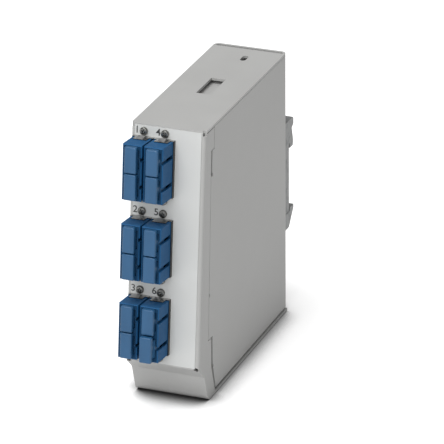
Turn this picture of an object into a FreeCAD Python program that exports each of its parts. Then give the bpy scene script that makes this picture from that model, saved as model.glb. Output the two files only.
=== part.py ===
import FreeCAD, Part
import os
import re
import Sketcher
from FreeCAD import Placement, Rotation, Vector

# Fibre splice box for a 35 mm rail: a narrow folded sheet box with six duplex adapters
# on a leaning front panel, dust caps in every port, a rail foot behind and a splice tray inside.
# Millimetres. X runs across the box, the front looks along -Y, Z is up.
# The origin is the middle of the underside.

SIZES = (
    # folded sheet box
    ("width", 36.0, "outside width over the folded sides"),
    ("height", 134.0, "outside height"),
    ("depth", 105.0, "front top edge to the outside of the back"),
    ("plate", 1.2, "sheet thickness"),
    ("lean", 6.0, "lean of the front panel, degrees"),
    ("fold_height", 20.62, "fold under the front panel above the floor"),
    ("shelf_run", 7.0, "how far the fold under the panel goes back"),
    ("shelf_drop", 6.5, "how far the fold under the panel comes down"),
    ("toe_out", 0.5, "front of the bottom plate ahead of the top front edge"),
    ("front_bend", 1.4, "outside bend from the panel to its side flanges"),
    ("shelf_bend", 3.0, "bend between the shelf and the chin"),
    ("toe_bend", 4.0, "bend between the chin and the bottom plate"),
    ("back_bend", 2.6, "outside bend from the sides to the back"),
    ("relief", 1.1, "corner relief holes over their corners"),
    # seam between the chassis flanges and the cover
    ("seam_gap", 0.4, "gap along the seam"),
    ("slot_gap", 1.6, "wider gap under the upper step"),
    ("foot_gap", 2.0, "wider gap at the lower step"),
    ("seam_top", 10.5, "seam behind the front edge, above the upper step"),
    ("seam_upper", 6.5, "seam behind the front edge, at the upper step"),
    ("seam_lower", 0.4, "seam behind the front edge, at the lower step"),
    ("seam_foot", 4.0, "seam behind the front edge, under the lower step"),
    ("seam_heel", 8.6, "seam behind the front edge, at the bottom"),
    ("step_down", 11.5, "upper step below the top"),
    ("slot_down", 23.6, "end of the wider gap below the top"),
    ("step_lower", 30.0, "height of the lower step"),
    ("heel_height", 15.0, "height where the seam slants back"),
    ("dot_height", 52.3, "height of the lower locating notch"),
    ("dot_radius", 1.0, "locating notches over their corners"),
    ("flange_slit", 0.4, "slit between a side flange and the top plate"),
    ("cover_lift", 2.8, "lower edge of the cover above the floor"),
    ("lip_gap", 0.2, "cover under the top plate"),
    ("rear_gap", 1.8, "top plate to the inside of the back"),
    # openings in the top plate
    ("window_wide", 7.0, "window across the box"),
    ("window_long", 19.6, "window along the box"),
    ("slot_wide", 2.8, "small slot across the box"),
    ("slot_long", 6.2, "small slot along the box"),
    ("slot_side", 2.0, "small slot right of the middle"),
    ("slot_in", 14.5, "small slot ahead of the back"),
    # tabs of the cover
    ("roof_drop", 1.6, "roof tab under the top plate"),
    ("roof_long", 42.0, "roof tab along the box"),
    ("roof_reach", 26.0, "roof tab in from the right side"),
    ("tab_wide", 28.0, "bottom tab across the box"),
    ("tab_long", 10.5, "bottom tab forward from the back"),
    # front label plate
    ("label_thick", 0.3, "label plate thickness"),
    ("label_margin", 0.7, "label short of the panel at the top and bottom"),
    ("label_side", 1.9, "label short of the sides"),
    # duplex adapters
    ("column_gap", 0.3, "gap between the clips of the two columns"),
    ("column_edge", 1.7, "left adapters in from the box's left side"),
    ("adapter_wide", 9.3, "adapter across the box"),
    ("adapter_tall", 26.4, "adapter down the panel"),
    ("adapter_front", 14.3, "adapter ahead of the panel"),
    ("adapter_rear", 11.5, "adapter behind its flange"),
    ("flange_thick", 2.0, "adapter flange behind the panel"),
    ("flange_gap", 2.2, "gap between the flanges of two rows"),
    ("cutout_gap", 0.1, "adapter in its cut-out, each side"),
    ("port_pitch", 12.8, "two ports of one adapter"),
    ("port_wide", 7.0, "port across the box"),
    ("port_tall", 9.0, "port down the panel"),
    ("port_wall", 2.0, "wall between the front and rear ports"),
    ("rim_bevel", 0.4, "bevel round the adapter's front rim"),
    ("key_wide", 2.0, "key slot in the side wall"),
    ("key_long", 11.4, "key slot back from the rim"),
    ("barrel_radius", 2.4, "ferrule barrel outside"),
    ("barrel_reach", 8.0, "barrel out of the wall, each way"),
    ("sleeve_radius", 1.6, "split sleeve outside"),
    ("sleeve_play", 0.08, "split sleeve in its barrel"),
    ("sleeve_bore", 1.25, "split sleeve inside"),
    ("sleeve_long", 11.4, "split sleeve length"),
    ("sleeve_slit", 0.4, "slit in the sleeve"),
    # adapter clips and screws
    ("clip_thick", 0.3, "clip sheet"),
    ("clip_wide", 6.6, "clip across the adapter's end"),
    ("clip_long", 5.6, "clip along the adapter's end"),
    ("clip_band", 2.0, "band round the adapter next to the panel"),
    ("clip_lift", 1.0, "spring tongue of the clip stands out"),
    ("clip_gap", 0.05, "clip round the adapter"),
    ("screw_out", 2.7, "adapter screws out from the adapter's ends"),
    ("screw_apart", 2.2, "gap between the screw heads of two rows"),
    ("screw_radius", 0.95, "adapter screw shank"),
    ("screw_long", 3.9, "adapter screw under its head"),
    ("screw_head", 1.9, "adapter screw head radius"),
    ("screw_head_tall", 1.3, "adapter screw head height"),
    ("screw_gap", 0.15, "screw shanks in their holes"),
    # dust caps
    ("cap_wide", 6.5, "cap head across the box"),
    ("cap_gap", 0.25, "gap between the two caps of an adapter"),
    ("cap_thick", 2.4, "cap head ahead of the adapter"),
    ("cap_bevel", 0.45, "bevel round the cap head"),
    ("cap_seat", 0.1, "cap head off the rim"),
    ("cap_plug", 8.0, "plug into the port"),
    ("cap_play", 0.2, "plug in its port, each side"),
    ("hollow_gap", 0.3, "plug's square hollow round the barrel"),
    ("cap_pulled", 2.0, "the sixth adapter's lower cap, drawn out"),
    # rail foot
    ("rail", 35.0, "top hat rail, edge to edge"),
    ("rail_play", 0.3, "rail between the hook and the latch"),
    ("rail_low", 49.6, "lower edge of the rail"),
    ("rail_lip", 1.4, "room for the rail's lip"),
    ("foot_wide", 34.0, "foot across the box"),
    ("foot_thick", 5.2, "foot plate behind the box"),
    ("hook_tall", 11.9, "foot above the rail"),
    ("hook_reach", 6.2, "hook behind the foot plate"),
    ("hook_tip", 2.6, "hook down over the rail's lip"),
    ("hook_bevel", 0.8, "bevels of the hook"),
    ("waist", 2.2, "waist of the hook"),
    ("latch_low", 41.6, "underside of the latch"),
    ("latch_tip", 1.7, "latch up over the rail's lip"),
    ("latch_play", 0.3, "latch in the foot, each side"),
    ("tongue_wide", 16.0, "latch tongue across the foot"),
    ("tongue_thick", 2.2, "latch tongue"),
    ("tongue_long", 24.0, "latch tongue up from the latch"),
    ("channel_in", 5.8, "top of the tongue's channel below the foot's top"),
    ("spring_wide", 9.0, "latch spring across the foot"),
    ("spring_band", 0.7, "latch spring band"),
    ("spring_thick", 1.6, "latch spring sheet"),
    ("spring_gap", 0.1, "latch spring off its two seats"),
    ("foot_screw_side", 11.8, "foot screws beside the middle"),
    ("foot_screw_up", 7.9, "foot screws above the rail's middle"),
    ("pull_wide", 10.0, "pull tab of the latch"),
    ("pull_long", 7.5, "pull tab of the latch, downwards"),
    # countersunk screws
    ("sunk_radius", 1.25, "countersunk screw shank"),
    ("sunk_head", 2.3, "countersunk head radius"),
    ("sunk_tall", 1.05, "countersunk head height"),
    ("screw_in", 5.0, "base screws in from the sides of the tab"),
    ("base_screw_long", 4.0, "screws through the bottom plate"),
    ("foot_screw_long", 6.6, "screws through the rail foot"),
    # cable hole
    ("gland_radius", 10.2, "cable gland hole"),
    ("gland_in", 27.0, "cable gland hole ahead of the back"),
    # splice tray and its bracket
    ("bracket_gap", 0.5, "bracket inside the cover's right side"),
    ("bracket_drop", 22.0, "bracket below the top"),
    ("bracket_front", 40.0, "bracket behind the front edge"),
    ("bracket_rear", 7.0, "bracket's rear edge ahead of the back"),
    ("bracket_foot_back", 62.0, "rear end of the bracket's foot"),
    ("bracket_foot_wide", 14.0, "bracket's foot across the box"),
    ("standoff_long", 3.0, "standoffs between bracket and tray"),
    ("standoff_radius", 2.9, "standoffs over their corners"),
    ("tray_drop", 6.0, "tray below the bracket's top"),
    ("tray_rear", 11.0, "tray ahead of the back"),
    ("tray_deep", 8.5, "tray depth"),
    ("tray_wall", 1.5, "tray wall"),
    ("tray_low", 22.0, "tray above the floor"),
    ("tray_front", 48.0, "tray behind the front edge"),
    ("tray_round", 9.0, "tray corner radius"),
    ("tray_screw_in", 10.0, "tray screws in from its edges"),
    ("entry_wide", 8.0, "fibre entries in the tray wall"),
    ("lid_thick", 1.0, "tray lid"),
    ("lid_play", 0.1, "lid rim inside the tray walls"),
    ("comb_in", 21.0, "splice comb in from the tray's ends"),
    ("comb_wide", 20.0, "splice comb across the tray"),
    ("comb_tall", 5.0, "splice comb height"),
    ("comb_base", 1.2, "splice comb base"),
    ("comb_pitch", 3.4, "splice comb slots"),
    ("comb_rib", 1.0, "splice comb ribs"),
    # strain relief bar
    ("bar_wide", 10.0, "strain relief bar across the box"),
    ("bar_in", 3.0, "strain relief bar in from the left side"),
    ("bar_front", 51.0, "strain relief bar behind the front edge"),
    ("bar_foot", 11.0, "strain relief bar's foot"),
    ("bar_high", 36.0, "strain relief bar above the floor"),
    ("tie_wide", 4.6, "cable tie slots"),
    ("tie_tall", 2.0, "cable tie slots, height"),
)

# Sizes that follow from the ones above
FOLLOWING = {
    "panel_length": "(height - fold_height) / cos(lean)",
    "step_upper": "height - step_down",
    "slot_end": "height - slot_down",
    "slot_back": "depth / 2 - slot_in",
    "column_pitch": "adapter_wide + 2 * clip_thick + 2 * clip_gap + column_gap",
    "column_left": "width / 2 - column_edge - adapter_wide / 2",
    "screw_pitch": "adapter_tall + 2 * screw_out",
    "row_pitch": "screw_pitch + 2 * screw_head + screw_apart",
    "flange_tall": "row_pitch - flange_gap",
    "cap_tall": "port_pitch - cap_gap",
    "cap_hollow": "2 * (barrel_radius + hollow_gap)",
    "foot_top": "rail_low + rail + rail_play + hook_tall",
    "channel_top": "foot_top - channel_in",
    "foot_screw_high": "rail_low + rail / 2 + foot_screw_up",
    "gland_back": "depth / 2 - gland_in",
    "bracket_high": "height - bracket_drop",
    "bracket_back": "depth - bracket_rear",
    "tray_long": "bracket_high - tray_drop - tray_low",
    "tray_wide": "depth - tray_rear - tray_front",
    "comb_long": "tray_long - 2 * comb_in",
    "bar_left": "width / 2 - bar_in",
}

COLUMNS = 2
SPRING_BARS = 8
BARREL_SIDES = 12
SLEEVE_SIDES = 8
HEAD_SIDES = 16
NOTCH_SIDES = 8

doc = FreeCAD.newDocument("fibre_box")
sheet = doc.addObject("Spreadsheet::Sheet", "Sizes")
for line, (alias, value, note) in enumerate(SIZES, start=1):
    sheet.set("A%d" % line, alias)
    sheet.set("B%d" % line, str(value))
    sheet.set("C%d" % line, note)
    sheet.setAlias("B%d" % line, alias)
doc.recompute()

ALIASES = re.compile(r"\b(%s)\b" % "|".join(alias for alias, value, note in SIZES))
FOLLOWERS = re.compile(r"\b(%s)\b" % "|".join(FOLLOWING))

# Places used by several pieces, as expressions on the sheet's names
FRONT = "(-depth / 2)"
BACK = "(depth / 2)"
ROOF = "(height - plate)"
FOLD_Y = "(%s - panel_length * sin(lean))" % FRONT
FOLD_Z = "(height - panel_length * cos(lean))"
SEAM_SLOPE = "((seam_upper - seam_lower) / (step_upper - step_lower))"
WALL = "(width / 2 - plate)"
BEHIND = "(plate + flange_thick)"
PORT_MIDDLE = "((plate + flange_thick) / 2)"
RAIL_HIGH = "(rail_low + rail + rail_play)"
TRAY_X = "(%s - bracket_gap - plate - standoff_long)" % WALL
X_AXIS = Vector(1, 0, 0)
Y_AXIS = Vector(0, 1, 0)
Z_AXIS = Vector(0, 0, 1)

# Screws: two from the bottom plate into the cover's tab, two from the foot into the back,
# and two that hold the tray; the bracket and the strain relief bar are welded to the bottom plate
BASE_SCREWS = (
    ("-tab_wide / 2 + screw_in", BACK + " - plate - tab_long / 2"),
    ("tab_wide / 2 - screw_in", BACK + " - plate - tab_long / 2"),
)
FOOT_SCREWS = (("-foot_screw_side", "foot_screw_high"), ("foot_screw_side", "foot_screw_high"))
TRAY_SCREWS = (
    (FRONT + " + tray_front + tray_wide / 2", "tray_low + tray_screw_in"),
    (FRONT + " + tray_front + tray_wide / 2", "tray_low + tray_long - tray_screw_in"),
)


def bound(text):
    """The expression with following sizes spelled out and each name given as a cell."""
    text = str(text)
    while FOLLOWERS.search(text):
        text = FOLLOWERS.sub(lambda found: "(%s)" % FOLLOWING[found.group(1)], text)
    return ALIASES.sub(r"Sizes.\1", text)


def number(text):
    """The value of an expression, as a plain number."""
    value = sheet.evalExpression(bound(text))
    return float(getattr(value, "Value", value))


def bind(thing, **properties):
    """Bind properties of an object to expressions on the sheet."""
    for name, text in properties.items():
        thing.setExpression(name, bound(text))


def place(thing, x="0", y="0", z="0", axis=None, angle="0"):
    """Bind an object's Placement, turned about an axis where one is given."""
    if axis is not None:
        thing.Placement = Placement(Vector(), Rotation(axis, number(angle)))
        thing.setExpression("Placement.Rotation.Angle", bound(angle))
    for letter, text in (("x", x), ("y", y), ("z", z)):
        thing.setExpression("Placement.Base.%s" % letter, bound(text))


def on_panel(thing, x, down, out="0"):
    """Place a piece on the leaning panel, down its slope from the top edge and out from it."""
    y = "%s - (%s) * sin(lean) - (%s) * cos(lean)" % (FRONT, down, out)
    z = "height - (%s) * cos(lean) + (%s) * sin(lean)" % (down, out)
    place(thing, x, y, z, X_AXIS, "-lean")


def new_body(label):
    """A body with the label that names its file."""
    body = doc.addObject("PartDesign::Body", label)
    body.Label = label
    return body


def sketch_on(body, plane, shift="0", tilt=None, y="0"):
    """A sketch on one of the body's own planes, shifted along its normal or tilted about X."""
    sketch = body.newObject("Sketcher::SketchObject", body.Label + "_sketch")
    origin_plane = [item for item in body.Origin.OriginFeatures if item.Role == plane][0]
    sketch.AttachmentSupport = [(origin_plane, "")]
    sketch.MapMode = "FlatFace"
    if tilt is not None:
        sketch.AttachmentOffset = Placement(Vector(), Rotation(Vector(1, 0, 0), number(tilt)))
        sketch.setExpression("AttachmentOffset.Rotation.Angle", bound(tilt))
    sketch.setExpression("AttachmentOffset.Base.y", bound(y))
    sketch.setExpression("AttachmentOffset.Base.z", bound(shift))
    return sketch


def outline(sketch, points):
    """A closed outline of straight lines, each corner tied to the sheet."""
    corners = [Vector(number(u), number(v), 0) for u, v in points]
    first = sketch.GeometryCount
    for index, corner in enumerate(corners):
        following = corners[(index + 1) % len(corners)]
        sketch.addGeometry(Part.LineSegment(corner, following), False)
    for index, (u, v) in enumerate(points):
        here = first + index
        following = first + (index + 1) % len(points)
        sketch.addConstraint(Sketcher.Constraint("Coincident", here, 2, following, 1))
        for kind, text, size in (("DistanceX", u, corners[index].x), ("DistanceY", v, corners[index].y)):
            at = sketch.addConstraint(Sketcher.Constraint(kind, -1, 1, here, 1, size))
            sketch.setExpression("Constraints[%d]" % at, bound(text))


def rectangle(sketch, u0, v0, u1, v1):
    """A rectangle between two corners."""
    outline(sketch, ((u0, v0), (u1, v0), (u1, v1), (u0, v1)))


def centred(sketch, u, v, wide, tall):
    """A rectangle about its middle."""
    rectangle(
        sketch,
        "(%s) - (%s) / 2" % (u, wide),
        "(%s) - (%s) / 2" % (v, tall),
        "(%s) + (%s) / 2" % (u, wide),
        "(%s) + (%s) / 2" % (v, tall),
    )


def circle(sketch, u, v, radius):
    """A circle about a point."""
    centre = Vector(number(u), number(v), 0)
    at = sketch.addGeometry(Part.Circle(centre, Vector(0, 0, 1), number(radius)), False)
    for kind, text, size in (("DistanceX", u, centre.x), ("DistanceY", v, centre.y)):
        tie = sketch.addConstraint(Sketcher.Constraint(kind, -1, 1, at, 3, size))
        sketch.setExpression("Constraints[%d]" % tie, bound(text))
    tie = sketch.addConstraint(Sketcher.Constraint("Radius", at, number(radius)))
    sketch.setExpression("Constraints[%d]" % tie, bound(radius))


def polygon(sketch, u, v, radius, sides):
    """A regular polygon about a point, with a corner on its right."""
    points = []
    for corner in range(sides):
        turn = "(%d * 360 / %d)" % (corner, sides)
        along = "%s + (%s) * cos%s" % (u, radius, turn)
        points.append((along, "%s + (%s) * sin%s" % (v, radius, turn)))
    outline(sketch, points)


def check(feature):
    """Recompute and stop if the feature failed."""
    doc.recompute()
    if "Invalid" in feature.State or "Error" in feature.State:
        raise RuntimeError("%s failed" % feature.Name)
    if feature.Shape.isNull() or not feature.Shape.isValid():
        raise RuntimeError("%s has no valid shape" % feature.Name)
    return feature


def pad(body, sketch, length, midplane=False, back=False):
    """Add the sketch's outline, carried along its normal."""
    feature = body.newObject("PartDesign::Pad", body.Label + "_pad")
    feature.Profile = sketch
    feature.Midplane = midplane
    feature.Reversed = back
    bind(feature, Length=length)
    return check(feature)


def pocket(body, sketch, length=None, midplane=False, back=False):
    """Cut the sketch's outline out, to a depth or right through."""
    before = body.Tip.Shape.Volume
    feature = body.newObject("PartDesign::Pocket", body.Label + "_pocket")
    feature.Profile = sketch
    feature.Midplane = midplane
    feature.Reversed = back
    if length is None:
        feature.Type = "ThroughAll"
    else:
        bind(feature, Length=length)
    check(feature)
    if feature.Shape.Volume >= before:
        raise RuntimeError("%s cuts nothing" % feature.Name)
    return feature


def corners_of(edge):
    """The end points of an edge."""
    return [vertex.Point for vertex in edge.Vertexes]


def runs_along(edge, axis):
    """True for a straight edge parallel to X, Y or Z."""
    ends = corners_of(edge)
    if len(ends) != 2 or not isinstance(edge.Curve, (Part.Line, Part.LineSegment)):
        return False
    run = ends[1] - ends[0]
    return abs(abs(run.dot(axis)) - run.Length) < 1e-6


def dress(body, kind, size, wanted):
    """Fillet or chamfer the edges that a test picks."""
    base = body.Tip
    names = ["Edge%d" % (index + 1) for index, edge in enumerate(base.Shape.Edges) if wanted(edge)]
    if not names:
        raise RuntimeError("no edges for %s of %s" % (kind, body.Label))
    feature = body.newObject("PartDesign::" + kind, body.Label + "_" + kind.lower())
    feature.Base = (base, names)
    if kind == "Fillet":
        bind(feature, Radius=size)
    else:
        bind(feature, Size=size)
    return check(feature)


def walls(body, thick, open_faces):
    """Hollow the body to a wall inside its faces, left open at the picked ones."""
    base = body.Tip
    names = ["Face%d" % (index + 1) for index, face in enumerate(base.Shape.Faces) if open_faces(face)]
    feature = body.newObject("PartDesign::Thickness", body.Label + "_walls")
    feature.Base = (base, names)
    bind(feature, Value=thick)
    feature.Reversed = True
    feature.Join = "Intersection"
    return check(feature)


def faces_along(axis, place_text):
    """A test for the flat faces that lie at one place along an axis."""
    where = number(place_text)

    def wanted(face):
        middle = face.CenterOfMass
        flat = isinstance(face.Surface, Part.Plane) and abs(abs(face.Surface.Axis.dot(axis)) - 1) < 1e-9
        return flat and abs(middle.dot(axis) - where) < 1e-6

    return wanted


def group(label, master, arrange, spots):
    """One node of identical separate solids, copies of a master at bound places."""
    links = []
    for index, spot in enumerate(spots):
        link = doc.addObject("App::Link", "%s_%d" % (label, index + 1))
        link.LinkedObject = master
        link.LinkTransform = False
        arrange(link, *spot)
        links.append(link)
    node = doc.addObject("Part::Compound", label)
    node.Label = label
    node.Links = links
    return check(node)


# Adapter places on the panel
def column_x(column):
    """Middle of an adapter column."""
    return "(-column_left + %d * column_pitch)" % column


def row_down(row):
    """Middle of an adapter row, down the panel; the rows lie evenly about the panel's middle."""
    return "(panel_length / 2 + %.1f * row_pitch)" % (row - (ROWS - 1) / 2)


def adapter_number(row, column):
    """Adapters are numbered down the left column and then down the right one."""
    return column * ROWS + row + 1


# As many rows and splice slots as the panel and the tray have room for
ROWS = int(number("panel_length / row_pitch"))
COMB_SLOTS = int(number("comb_long / comb_pitch"))
PULLED_CAP = (ROWS - 1, COLUMNS - 1, True)
ADAPTERS = [(row, column) for column in range(COLUMNS) for row in range(ROWS)]


def seam_at(height_text):
    """Seam behind the front edge, at a height between its two steps."""
    return "(seam_lower + ((%s) - step_lower) * %s)" % (height_text, SEAM_SLOPE)


def side_profile():
    """The folded side outline: top, leaning panel, shelf, chin, bottom and back."""
    return (
        (FRONT, "height"),
        (FOLD_Y, FOLD_Z),
        (FOLD_Y + " + shelf_run", FOLD_Z + " - shelf_drop"),
        (FRONT + " - toe_out", "0"),
        (BACK, "0"),
        (BACK, "height"),
    )


def on_leaning_panel(body):
    """A sketch on the outside of the leaning panel, with its origin at the top edge."""
    return sketch_on(body, "XZ_Plane", "depth / 2", "-lean", "height")


def panel_screw_holes(sketch):
    """Square punched holes for the adapter screws, hidden under their heads."""
    side_length = "2 * (screw_radius + screw_gap)"
    for row, column in ADAPTERS:
        for side in ("-", "+"):
            spot = "-%s %s screw_pitch / 2" % (row_down(row), side)
            centred(sketch, column_x(column), spot, side_length, side_length)


def sinks(body, spots, plane, shift, cut_back, rim_axis, rim_place):
    """Countersunk holes: bores through the wall, then a cone round each rim."""
    sketch = sketch_on(body, plane, shift)
    for u, v in spots:
        circle(sketch, u, v, "sunk_radius + screw_gap")
    pocket(body, sketch, "2 * foot_thick", back=cut_back)
    where = number(rim_place)
    radius = number("sunk_radius + screw_gap")

    def rim(edge):
        round_edge = isinstance(edge.Curve, Part.Circle) and abs(edge.Curve.Radius - radius) < 1e-6
        return round_edge and abs(edge.Curve.Center.dot(rim_axis) - where) < 1e-6

    dress(body, "Chamfer", "sunk_head - sunk_radius", rim)


def make_chassis():
    """Top, front, chin and bottom folded from one sheet, with side flanges on the front."""
    body = new_body("chassis")
    sketch = sketch_on(body, "YZ_Plane")
    outline(sketch, side_profile())
    pad(body, sketch, "width", midplane=True)
    fold_z = number(FOLD_Z)
    half = number("width / 2")

    def panel_side(edge):
        ends = corners_of(edge)
        at_side = all(abs(abs(point.x) - half) < 1e-6 for point in ends)
        heights = sorted(point.z for point in ends)
        return at_side and abs(heights[0] - fold_z) < 1e-6 and heights[1] > number(ROOF)

    def fold_at(y_text, z_text):
        fold = Vector(0, number(y_text), number(z_text))
        return lambda edge: runs_along(edge, X_AXIS) and (edge.CenterOfMass - fold).Length < 1e-6

    dress(body, "Fillet", "front_bend", panel_side)
    dress(body, "Fillet", "shelf_bend", fold_at(FOLD_Y + " + shelf_run", FOLD_Z + " - shelf_drop"))
    dress(body, "Fillet", "toe_bend", fold_at(FRONT + " - toe_out", "0"))
    walls(body, "plate", faces_along(Y_AXIS, BACK))

    # The sides stop at the stepped seam, and a slit parts each flange from the top plate
    sketch = sketch_on(body, "YZ_Plane")
    outline(
        sketch,
        (
            (FRONT + " + 1.5 * plate", ROOF),
            (FRONT + " + 1.5 * plate", ROOF + " - flange_slit"),
            (FRONT + " + seam_top", ROOF + " - flange_slit"),
            (FRONT + " + seam_top", "step_upper"),
            (FRONT + " + seam_upper", "step_upper"),
            (FRONT + " + seam_lower", "step_lower"),
            (FRONT + " + seam_foot", "step_lower"),
            (FRONT + " + seam_foot", "heel_height"),
            (FRONT + " + seam_heel", "plate"),
            (BACK + " + plate", "plate"),
            (BACK + " + plate", ROOF),
        ),
    )
    pocket(body, sketch, "2 * width", midplane=True)

    # The top plate stops short of the back
    sketch = sketch_on(body, "YZ_Plane")
    rear_edge = BACK + " - plate - rear_gap"
    rectangle(sketch, rear_edge, ROOF + " - plate", BACK + " + plate", "height + plate")
    pocket(body, sketch, "2 * width", midplane=True)

    # Window and small round-ended slot in the top plate
    sketch = sketch_on(body, "XY_Plane", "height")
    centred(sketch, "0", "0", "window_wide", "window_long")
    pocket(body, sketch, "2 * plate")
    sketch = sketch_on(body, "XY_Plane", "height")
    centred(sketch, "slot_side", "slot_back", "slot_wide", "slot_long")
    pocket(body, sketch, "2 * plate")
    slot_middle = Vector(number("slot_side"), number("slot_back"), number("height - plate / 2"))

    def slot_corner(edge):
        near = (edge.CenterOfMass - slot_middle).Length < number("slot_long")
        return runs_along(edge, Z_AXIS) and near

    dress(body, "Fillet", "slot_wide / 2 - 0.01", slot_corner)

    # Corner reliefs at the top front corners and at both ends of the fold under the panel
    sketch = sketch_on(body, "XY_Plane", "height")
    for side in ("-", "+"):
        corner = "(0 %s (width / 2 - plate / 2))" % side
        polygon(sketch, corner, FRONT + " + plate / 2", "relief", NOTCH_SIDES)
    pocket(body, sketch, "2 * plate")
    sketch = on_leaning_panel(body)
    for side in ("-", "+"):
        corner = "(0 %s (width / 2 - front_bend))" % side
        polygon(sketch, corner, "-panel_length", "relief", NOTCH_SIDES)
    pocket(body, sketch, "2 * shelf_run", midplane=True)

    # Adapter cut-outs and screw holes, square to the leaning panel
    sketch = on_leaning_panel(body)
    for row, column in ADAPTERS:
        middle = (column_x(column), "-" + row_down(row))
        centred(sketch, *middle, "adapter_wide + 2 * cutout_gap", "adapter_tall + 2 * cutout_gap")
    pocket(body, sketch, "6 * plate", midplane=True)
    sketch = on_leaning_panel(body)
    panel_screw_holes(sketch)
    pocket(body, sketch, "6 * plate", midplane=True)

    # Cable gland hole and the countersunk holes of the bottom plate
    sketch = sketch_on(body, "XY_Plane")
    circle(sketch, "0", "gland_back", "gland_radius")
    pocket(body, sketch, "4 * plate", midplane=True)
    sinks(body, BASE_SCREWS, "XY_Plane", "0", True, Z_AXIS, "0")
    return body


def make_cover():
    """Right side, back and left side folded from one sheet, with its tabs."""
    body = new_body("cover")
    sketch = sketch_on(body, "XY_Plane", "cover_lift")
    rectangle(sketch, "-width / 2", FRONT, "width / 2", BACK)
    pad(body, sketch, "height - cover_lift")
    back = number(BACK)
    dress(
        body,
        "Fillet",
        "back_bend",
        lambda edge: runs_along(edge, Z_AXIS) and abs(edge.CenterOfMass.y - back) < 1e-6,
    )
    open_tests = (
        faces_along(Z_AXIS, "height"),
        faces_along(Z_AXIS, "cover_lift"),
        faces_along(Y_AXIS, FRONT),
    )
    walls(body, "plate", lambda face: any(test(face) for test in open_tests))

    # Front edges of the sides follow the stepped seam
    ahead = FRONT + " - plate"
    sketch = sketch_on(body, "YZ_Plane")
    outline(
        sketch,
        (
            (ahead, "height + plate"),
            (FRONT + " + seam_top + seam_gap", "height + plate"),
            (FRONT + " + seam_top + seam_gap", "step_upper - seam_gap"),
            (FRONT + " + slot_gap + " + seam_at("step_upper - seam_gap"), "step_upper - seam_gap"),
            (FRONT + " + slot_gap + " + seam_at("slot_end"), "slot_end"),
            (FRONT + " + seam_gap + " + seam_at("slot_end"), "slot_end"),
            (FRONT + " + seam_gap + " + seam_at("step_lower + seam_gap"), "step_lower + seam_gap"),
            (FRONT + " + seam_foot + foot_gap", "step_lower + seam_gap"),
            (FRONT + " + seam_foot + foot_gap", "heel_height"),
            (FRONT + " + seam_heel + slot_gap", "0"),
            (ahead, "0"),
        ),
    )
    pocket(body, sketch, "2 * width", midplane=True)
    sketch = sketch_on(body, "YZ_Plane")
    notches = (
        ("slot_gap + " + seam_at("slot_end"), "slot_end"),
        ("seam_gap + " + seam_at("dot_height"), "dot_height"),
        ("seam_foot + foot_gap", "heel_height"),
    )
    for behind, z in notches:
        polygon(sketch, "(%s + %s)" % (FRONT, behind), z, "dot_radius", NOTCH_SIDES)
    pocket(body, sketch, "2 * width", midplane=True)

    # The sides pass under the top plate, and only the back stands to full height
    sketch = sketch_on(body, "YZ_Plane")
    rear_edge = BACK + " - plate - rear_gap + lip_gap"
    rectangle(sketch, ahead, ROOF + " - lip_gap", rear_edge, "height + plate")
    pocket(body, sketch, "2 * width", midplane=True)

    # Roof tab under the window, and the bottom tab that the box is screwed to
    sketch = sketch_on(body, "XY_Plane", ROOF + " - roof_drop - plate")
    rectangle(sketch, WALL + " - roof_reach", "-roof_long / 2", WALL, "roof_long / 2")
    pad(body, sketch, "plate")
    sketch = sketch_on(body, "XY_Plane", "plate")
    rectangle(sketch, "-tab_wide / 2", BACK + " - plate - tab_long", "tab_wide / 2", BACK)
    pad(body, sketch, "plate")
    sketch = sketch_on(body, "XY_Plane", "plate")
    rectangle(sketch, "-tab_wide / 2", BACK + " - plate", "tab_wide / 2", BACK)
    pad(body, sketch, "cover_lift - plate")
    sketch = sketch_on(body, "XY_Plane", "plate")
    for x, y in BASE_SCREWS:
        circle(sketch, x, y, "sunk_radius + screw_gap")
    pocket(body, sketch, "2 * plate", back=True)

    # Holes for the rail foot's screws
    sketch = sketch_on(body, "XZ_Plane", "-" + BACK)
    for x, z in FOOT_SCREWS:
        circle(sketch, x, z, "sunk_radius + screw_gap")
    pocket(body, sketch, "2 * plate", back=True)
    return body


def make_front_label():
    """Thin bright plate over the whole leaning panel, cut for the adapters and their screws."""
    body = new_body("front_label")
    on_panel(body, "0", "0")
    side = "(width / 2 - label_side)"
    sketch = sketch_on(body, "XZ_Plane")
    rectangle(sketch, "-" + side, "-panel_length + label_margin", side, "-label_margin")
    pad(body, sketch, "label_thick")
    sketch = sketch_on(body, "XZ_Plane")
    for row, column in ADAPTERS:
        middle = (column_x(column), "-" + row_down(row))
        centred(sketch, *middle, "adapter_wide + 2 * cutout_gap", "adapter_tall + 2 * cutout_gap")
    pocket(body, sketch, "6 * plate", midplane=True)
    sketch = sketch_on(body, "XZ_Plane")
    panel_screw_holes(sketch)
    pocket(body, sketch, "6 * plate", midplane=True)
    return body


def port_places():
    """The two ports of an adapter, up and down from its middle."""
    return ("port_pitch / 2", "-port_pitch / 2")


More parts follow.
